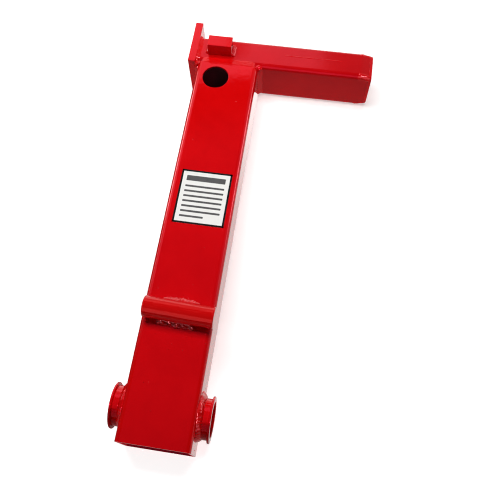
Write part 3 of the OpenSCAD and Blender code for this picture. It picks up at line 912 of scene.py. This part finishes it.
# tip: the four corner slits, welded and dressed
tips = []
for n_, (sy, sz) in enumerate(((-1, 1), (1, 1), (-1, -1), (1, -1))):
    x0, x1 = x_tip - 6.0, x_end - 1.0
    rows, cols = 60, 16
    verts, faces = [], []
    for layer in (0, 1):
        for i in range(rows + 1):
            x = x0 + (x1 - x0) * i / rows
            g = drawn(x)
            r = ARM_R - 1.5 * g
            cy, cz = ym + sy * (25.4 - TIP_PINCH * g - r), sz * (D / 2 - TIP_DROP * g - r)
            for j in range(cols + 1):
                t = j / cols
                a = math.radians(-22 + 134 * t)
                ends = min(i, rows - i) / rows * 7
                side_e = min(j, cols - j) / cols * 3.2
                e = min(1, ends) * min(1, side_e)
                e = e * e * (3 - 2 * e)
                h = -0.25 + e * (0.62 + 0.45 * nz((x, sy * 30 + j * 0.7, sz * 30), 4.5, 81 + n_) + 0.22 * nz((x, j, 0), 1.6, 85 + n_))
                rad = (r + h) if layer == 0 else (r - 1.8)
                # past the quarter turn the pad runs on along the flats
                if a < 0:
                    py, pz = rad, math.sin(a) * r * 1.0
                elif a > math.pi / 2:
                    py, pz = math.cos(a) * r * 1.0, rad
                else:
                    py, pz = rad * math.cos(a), rad * math.sin(a)
                verts.append((x, cy + sy * py, cz + sz * pz))
    m = (rows + 1) * (cols + 1)
    g_ = lambda i, j, l=0: l * m + i * (cols + 1) + j
    for i in range(rows):
        for j in range(cols):
            faces.append((g_(i, j), g_(i + 1, j), g_(i + 1, j + 1), g_(i, j + 1)))
            faces.append((g_(i, j, 1), g_(i, j + 1, 1), g_(i + 1, j + 1, 1), g_(i + 1, j, 1)))
    for i in range(rows):
        faces.append((g_(i, 0), g_(i, 0, 1), g_(i + 1, 0, 1), g_(i + 1, 0)))
        faces.append((g_(i, cols), g_(i + 1, cols), g_(i + 1, cols, 1), g_(i, cols, 1)))
    for j in range(cols):
        faces.append((g_(0, j), g_(0, j + 1), g_(0, j + 1, 1), g_(0, j, 1)))
        faces.append((g_(rows, j), g_(rows, j, 1), g_(rows, j + 1, 1), g_(rows, j + 1)))
    tips.append(add_mesh("t", verts, faces))
tip_w = join("tip_corner_beads", tips)
for v in tip_w.data.vertices:
    v.co.z = max(v.co.z, -z_f * MM)
place(tip_w, red_weld, "red_paint_weld", "tip_corner_welds")

# ---------------------------------------------------------------- spatter, nibs and the arm tube's seam line
rs = random.Random(5)
dots = []


def dot(x, y, z, r, flat=(1, 1, 1)):
    dots.append(blob("d", (x, y, z), (r * flat[0], r * flat[1], r * flat[2]), rs.randint(1, 900), 2, 0.15))


for k in range(16):
    dot(bar_c[0] + rs.uniform(-40, 40), bar_c[1] + rs.choice((-1, 1)) * rs.uniform(24, 52), z_f + 0.05, rs.uniform(0.45, 0.85), (1, 1, 0.75))
for k in range(9):
    dot(b_lo[0] + rs.uniform(-8, 58), b_lo[1] + rs.uniform(-13, 26), z_f + 0.05, rs.uniform(0.4, 0.7), (1, 1, 0.75))
for x, y in ((45.2, 94.1), (-27.8, 31.0), (-20.4, 31.5), (-10.3, -4.0), (19.2, 233.0), (-30.5, 411.6), (25.5, 490.2)):
    dot(x, y, z_f + 0.1, 0.75, (1, 1, 0.7))
for side in (-1, 1):
    for k in range(8):
        a = rs.uniform(0, 6.283)
        r_ = rs.uniform(37.5, 46)
        if abs(r_ * math.sin(a)) < 27:
            dot(side * (half + 0.05), r_ * math.cos(a), r_ * math.sin(a), rs.uniform(0.45, 0.8), (0.75, 1, 1))
for x, a in ((0.5, 12.0), (1.5, -12.0)):
    a = math.radians(a)
    dot(bar_c[0] + x, bar_c[1] + BAR_R * math.sin(a), bar_c[2] + BAR_R * math.cos(a), 0.8, (1, 1, 0.6))
spatter = join("weld_spatter", dots)
place(spatter, red_weld, "red_paint_weld")

nseam = 150
sv, sf = [], []
for i in range(nseam + 1):
    x = 86.5 + 104.3 * i / nseam
    e = min(1.0, min(i, nseam - i) / 22.0)
    e = e * e * (3 - 2 * e)
    yc_ = y_arm + 27.8 + 0.25 * nz((x, 0, 0), 14.0, 91)
    wdt = 0.75 * (0.7 + 0.3 * e) * (1 + 0.3 * nz((x, 1, 0), 6.0, 92))
    hgt = -0.10 + 0.42 * e * (1 + 0.35 * nz((x, 2, 0), 4.0, 93))
    for dy, dz in ((-wdt * 1.7, -0.12), (-wdt * 0.6, hgt * 0.85), (0, hgt), (wdt * 0.6, hgt * 0.85), (wdt * 1.7, -0.12), (0, -0.5)):
        sv.append((x, yc_ + dy, z_f + dz))
for i in range(nseam):
    for j in range(6):
        a, b = i * 6 + j, i * 6 + (j + 1) % 6
        sf.append((a, b, b + 6, a + 6))
sf.append(tuple(range(6))[::-1])
sf.append(tuple(range(nseam * 6, nseam * 6 + 6)))
seam = add_mesh("arm_tube_seam_line", sv, sf)
place(seam, red, "red_paint")

# ---------------------------------------------------------------- label
lw, lh = l_hi[0] - l_lo[0], l_hi[1] - l_lo[1]
lx, ly = l_lo[0], l_lo[1]


def pad_poly(name, pts, z0, z1, edge=0.0):
    """Thin flat pad from a closed outline, top edge drawn in by edge."""
    n = len(pts)
    cx, cy = sum(p[0] for p in pts) / n, sum(p[1] for p in pts) / n
    verts = [(p[0], p[1], z0) for p in pts]
    if edge > 0:
        verts += [(p[0], p[1], z1 - edge) for p in pts]
        verts += [(p[0] + (edge if p[0] < cx else -edge), p[1] + (edge if p[1] < cy else -edge), z1) for p in pts]
        k = 3
    else:
        verts += [(p[0], p[1], z1) for p in pts]
        k = 2
    faces = [tuple(range(n))[::-1], tuple(range((k - 1) * n, k * n))]
    for l in range(k - 1):
        for i in range(n):
            j = (i + 1) % n
            faces.append((l * n + i, l * n + j, (l + 1) * n + j, (l + 1) * n + i))
    return add_mesh(name, verts, faces)


def rr_at(cx, cy, w, h, r, n=5, ang=0.0):
    c, s = math.cos(ang), math.sin(ang)
    return [(cx + c * u - s * v, cy + s * u + c * v) for u, v in rr(w, h, r, n)]


sheet = pad_poly("label_film_sheet", rr_at(lx + lw / 2, ly + lh / 2, lw, lh, 1.4), z_f - 0.1, l_hi[2] - 0.02, 0.08)
for p in sheet.data.polygons:
    p.use_smooth = False
place(sheet, white_film, "label_film", "label_sheet")
ZP0, ZP1 = l_hi[2] - 0.05, l_hi[2] + 0.012


def bars(name, items, mat):
    obs = []
    for it in items:
        if it[0] == "r":
            _, cx, cy, w, h, r, ang = it
            obs.append(pad_poly("b", rr_at(lx + cx, ly + cy, w, h, min(r, w / 2 - 0.01, h / 2 - 0.01), 4, ang), ZP0, ZP1))
        else:
            _, cx, cy, ro, ri = it
            n = 40
            o = [(lx + cx + ro * math.cos(2 * math.pi * k / n), ly + cy + ro * math.sin(2 * math.pi * k / n)) for k in range(n)]
            i_ = [(lx + cx + ri * math.cos(2 * math.pi * k / n), ly + cy + ri * math.sin(2 * math.pi * k / n)) for k in range(n)]
            obs.append(shell("b", [[(p[0], p[1], z) for p in o] for z in (ZP0, ZP1)], [[(p[0], p[1], z) for p in i_] for z in (ZP0, ZP1)]))
    ob = join(name, obs)
    for p in ob.data.polygons:
        p.use_smooth = False
    place(ob, mat, "label_film")
    return ob


# a plain generic panel: even border, one header block, plain bars across; no lettering, no drawing
BW = 3.0
bars("label_black_frame", [
    ("r", BW / 2 - 0.04, lh / 2, BW, lh + 0.08, 0.5, 0), ("r", lw - BW / 2 + 0.04, lh / 2, BW, lh + 0.08, 0.5, 0),
    ("r", lw / 2, lh - BW / 2 + 0.04, lw + 0.08, BW, 0.5, 0), ("r", lw / 2, BW / 2 - 0.04, lw + 0.08, BW, 0.5, 0)], black_ink)
rows_ = [("r", lw / 2, lh - 14.0, lw - 18.0, 9.0, 0.8, 0)]
for k in range(7):
    w_ = (lw - 18.0) * (0.6 if k == 6 else 1.0)
    rows_.append(("r", 9.0 + w_ / 2, lh - 27.5 - 8.4 * k, w_, 3.2, 0.8, 0))
bars("label_grey_bars", rows_, grey_ink)

# ---------------------------------------------------------------- floor, light, camera
bm = bmesh.new()
bmesh.ops.create_grid(bm, x_segments=24, y_segments=24, size=6.0)
me = bpy.data.meshes.new("floor")
bm.to_mesh(me)
bm.free()
floor = bpy.data.objects.new("floor", me)
scene.collection.objects.link(floor)
floor.location = (0, 0.3, cad_lo.z - 0.0001)
floor.data.materials.append(floor_paint())

# pale backdrop all round, seen only directly
bm = bmesh.new()
bmesh.ops.create_icosphere(bm, subdivisions=5, radius=5.6)
me = bpy.data.meshes.new("backdrop")
bm.to_mesh(me)
bm.free()
backdrop = bpy.data.objects.new("backdrop", me)
scene.collection.objects.link(backdrop)
backdrop.location = (0, 0.3, 0)
bd_mat = bpy.data.materials.new("pale_backdrop")
bd_mat.use_nodes = True
bd_mat.node_tree.nodes.clear()
bd_out = bd_mat.node_tree.nodes.new("ShaderNodeOutputMaterial")
bd_em = bd_mat.node_tree.nodes.new("ShaderNodeEmission")
bd_em.inputs["Color"].default_value = (1.0, 1.0, 1.0, 1.0)
bd_em.inputs["Strength"].default_value = 0.97
bd_mat.node_tree.links.new(bd_em.outputs[0], bd_out.inputs["Surface"])
backdrop.data.materials.append(bd_mat)
backdrop.visible_diffuse = False
backdrop.visible_glossy = False
backdrop.visible_transmission = False
backdrop.visible_shadow = False

# The reflections come from the studio's walls, which are painted on the world; the pale floor stays out of them.
floor.visible_glossy = False
world = bpy.data.worlds.new("studio")
scene.world = world
world.use_nodes = True
wt = world.node_tree
wt.nodes.clear()
wo = wt.nodes.new("ShaderNodeOutputWorld")
bg = wt.nodes.new("ShaderNodeBackground")
tc = wt.nodes.new("ShaderNodeTexCoord")
sp = wt.nodes.new("ShaderNodeSeparateXYZ")
wt.links.new(tc.outputs["Generated"], sp.inputs[0])
DX, DY, DZ = sp.outputs["X"], sp.outputs["Y"], sp.outputs["Z"]


def step(sock, a, b, c=0.0, d=1.0):
    """c below a, d above b, smooth between."""
    x = wt.nodes.new("ShaderNodeMapRange")
    x.interpolation_type = "SMOOTHSTEP"
    for nme, v in (("From Min", a), ("From Max", b), ("To Min", c), ("To Max", d)):
        x.inputs[nme].default_value = v
    wt.links.new(sock, x.inputs["Value"])
    return x.outputs["Result"]


def wm(op, a, b=None):
    x = wt.nodes.new("ShaderNodeMath")
    x.operation = op
    for i, v in enumerate((a, b)):
        if v is None:
            continue
        if isinstance(v, (int, float)):
            x.inputs[i].default_value = v
        else:
            wt.links.new(v, x.inputs[i])
    return x.outputs[0]


def prod(*parts):
    r = parts[0]
    for q in parts[1:]:
        r = wm("MULTIPLY", r, q)
    return r


def total(*parts):
    r = parts[0]
    for q in parts[1:]:
        r = wm("ADD", r, q)
    return r


up = step(DZ, -0.01, 0.01)
dn = step(DZ, -0.01, 0.01, 1.0, 0.0)
AX = wm("ABSOLUTE", DX)
# wall beyond the far end, up to 53 degrees: a bright panel high on its left half, paler towards the ground
far = prod(step(DZ, 0.46, 0.60), step(DZ, 0.7835, 0.7875, 1.0, 0.0), step(DY, 0.15, 0.35), step(DX, -0.014, 0.036, 3.1, 0.85))
# a shaded patch in that panel
shade = prod(step(DX, -0.146, -0.140), step(DX, -0.130, -0.098, 1.0, 0.0), step(DZ, 0.766, 0.771, 1.0, 0.0), 0.62)
far = prod(far, wm("SUBTRACT", 1.0, shade))
far_low = prod(up, step(DZ, 0.46, 0.60, 1.0, 0.0), step(DZ, 0.20, 0.26, 3.2, 1.1), step(DY, 0.15, 0.35))
# ceiling: a dim panel straight above
ceiling = prod(step(DZ, 0.80, 0.86), 0.55)
# side walls
sides = prod(up, step(AX, 0.45, 0.75), 0.10)
# two tall bright windows, one either side, by the far end
window = prod(step(AX, 0.70, 0.76), step(DY, 0.38, 0.42), step(DY, 0.56, 0.60, 1.0, 0.0), step(DZ, 0.0, 0.03), step(DZ, 0.27, 0.31, 1.0, 0.0), 9.0)
# near wall, bright from about 15 degrees up
near = prod(step(DZ, 0.22, 0.28), step(DZ, 0.78, 0.84, 1.0, 0.0), step(DY, -0.45, -0.25, 1.0, 0.0), 3.4)


def lamp(direction, half_angle, level):
    """A small round lamp seen in that direction."""
    d = Vector(direction).normalized()
    x = wt.nodes.new("ShaderNodeVectorMath")
    x.operation = "DOT_PRODUCT"
    wt.links.new(tc.outputs["Generated"], x.inputs[0])
    x.inputs[1].default_value = tuple(d)
    c0 = math.cos(math.radians(half_angle))
    return prod(step(x.outputs["Value"], c0 - 0.0004, c0 + 0.0004), level)


lamps = total(lamp((-0.42, -0.16, 0.89), 6.5, 75.0), lamp((0.42, -0.34, 0.84), 6.5, 75.0))
# ground: cream on the right, dark on the left, middling on the near side
g_right = prod(dn, step(DX, -0.03, 0.03), step(DY, -0.05, 0.10), step(DY, 0.40, 0.60, 0.86, 1.55))
g_left = prod(dn, step(DX, 0.0, 0.03, 1.0, 0.0), step(DX, -0.42, -0.34), step(DZ, -0.74, -0.68), step(DY, 0.30, 0.40), 1.6)
g_near = prod(dn, step(DY, -0.15, 0.02, 0.40, 0.0))
g_under = prod(step(DZ, -0.97, -0.94, 0.35, 0.0), step(DY, 0.02, 0.10, 1.0, 0.0))
strength = total(far, far_low, ceiling, sides, window, near, g_right, g_left, g_near, g_under, lamps, 0.03)
wt.links.new(strength, bg.inputs["Strength"])
bg.inputs["Color"].default_value = (1.0, 0.945, 0.925, 1.0)
wt.links.new(bg.outputs[0], wo.inputs["Surface"])
# the walls only show in the gloss of the paint; the lamp overhead and the pale floor light the part
world.cycles_visibility.diffuse = False


def area(name, loc, target, sx, sy, power, colour=(1, 1, 1), glossy=True):
    l = bpy.data.lights.new(name, "AREA")
    l.shape = "RECTANGLE"
    l.size, l.size_y = sx, sy
    l.energy = power
    l.color = colour
    o = bpy.data.objects.new(name, l)
    scene.collection.objects.link(o)
    o.location = loc
    d = Vector(target) - Vector(loc)
    o.rotation_euler = d.to_track_quat("-Z", "Y").to_euler()
    o.visible_glossy = glossy
    return o


area("overhead", (-0.08, 0.66, 1.25), (-0.08, 0.60, 0.0), 1.1, 0.6, 21.2, (1.0, 0.99, 0.975), glossy=False)

# the solved camera: right, down and forward directions in the part's frame
RIGHT = Vector((0.9879545, 0.1519008, -0.0295294))
DOWN = Vector((0.1284180, -0.9112813, -0.3912483))
FWD = Vector((-0.0863405, 0.3827434, -0.9198113))
cam = bpy.data.cameras.new("camera")
cam.sensor_width = 36.0
cam.lens = 606.17 / 480 * 36.0
cam.clip_start = 0.01
camera = bpy.data.objects.new("camera", cam)
scene.collection.objects.link(camera)
R = Matrix((RIGHT, -DOWN, -FWD)).transposed().to_4x4()
camera.matrix_world = Matrix.Translation(Vector((0.1445978, -0.0861605, 0.8497339))) @ R
scene.camera = camera
scene.view_settings.view_transform = "Standard"
scene.cycles.filter_width = 1.1
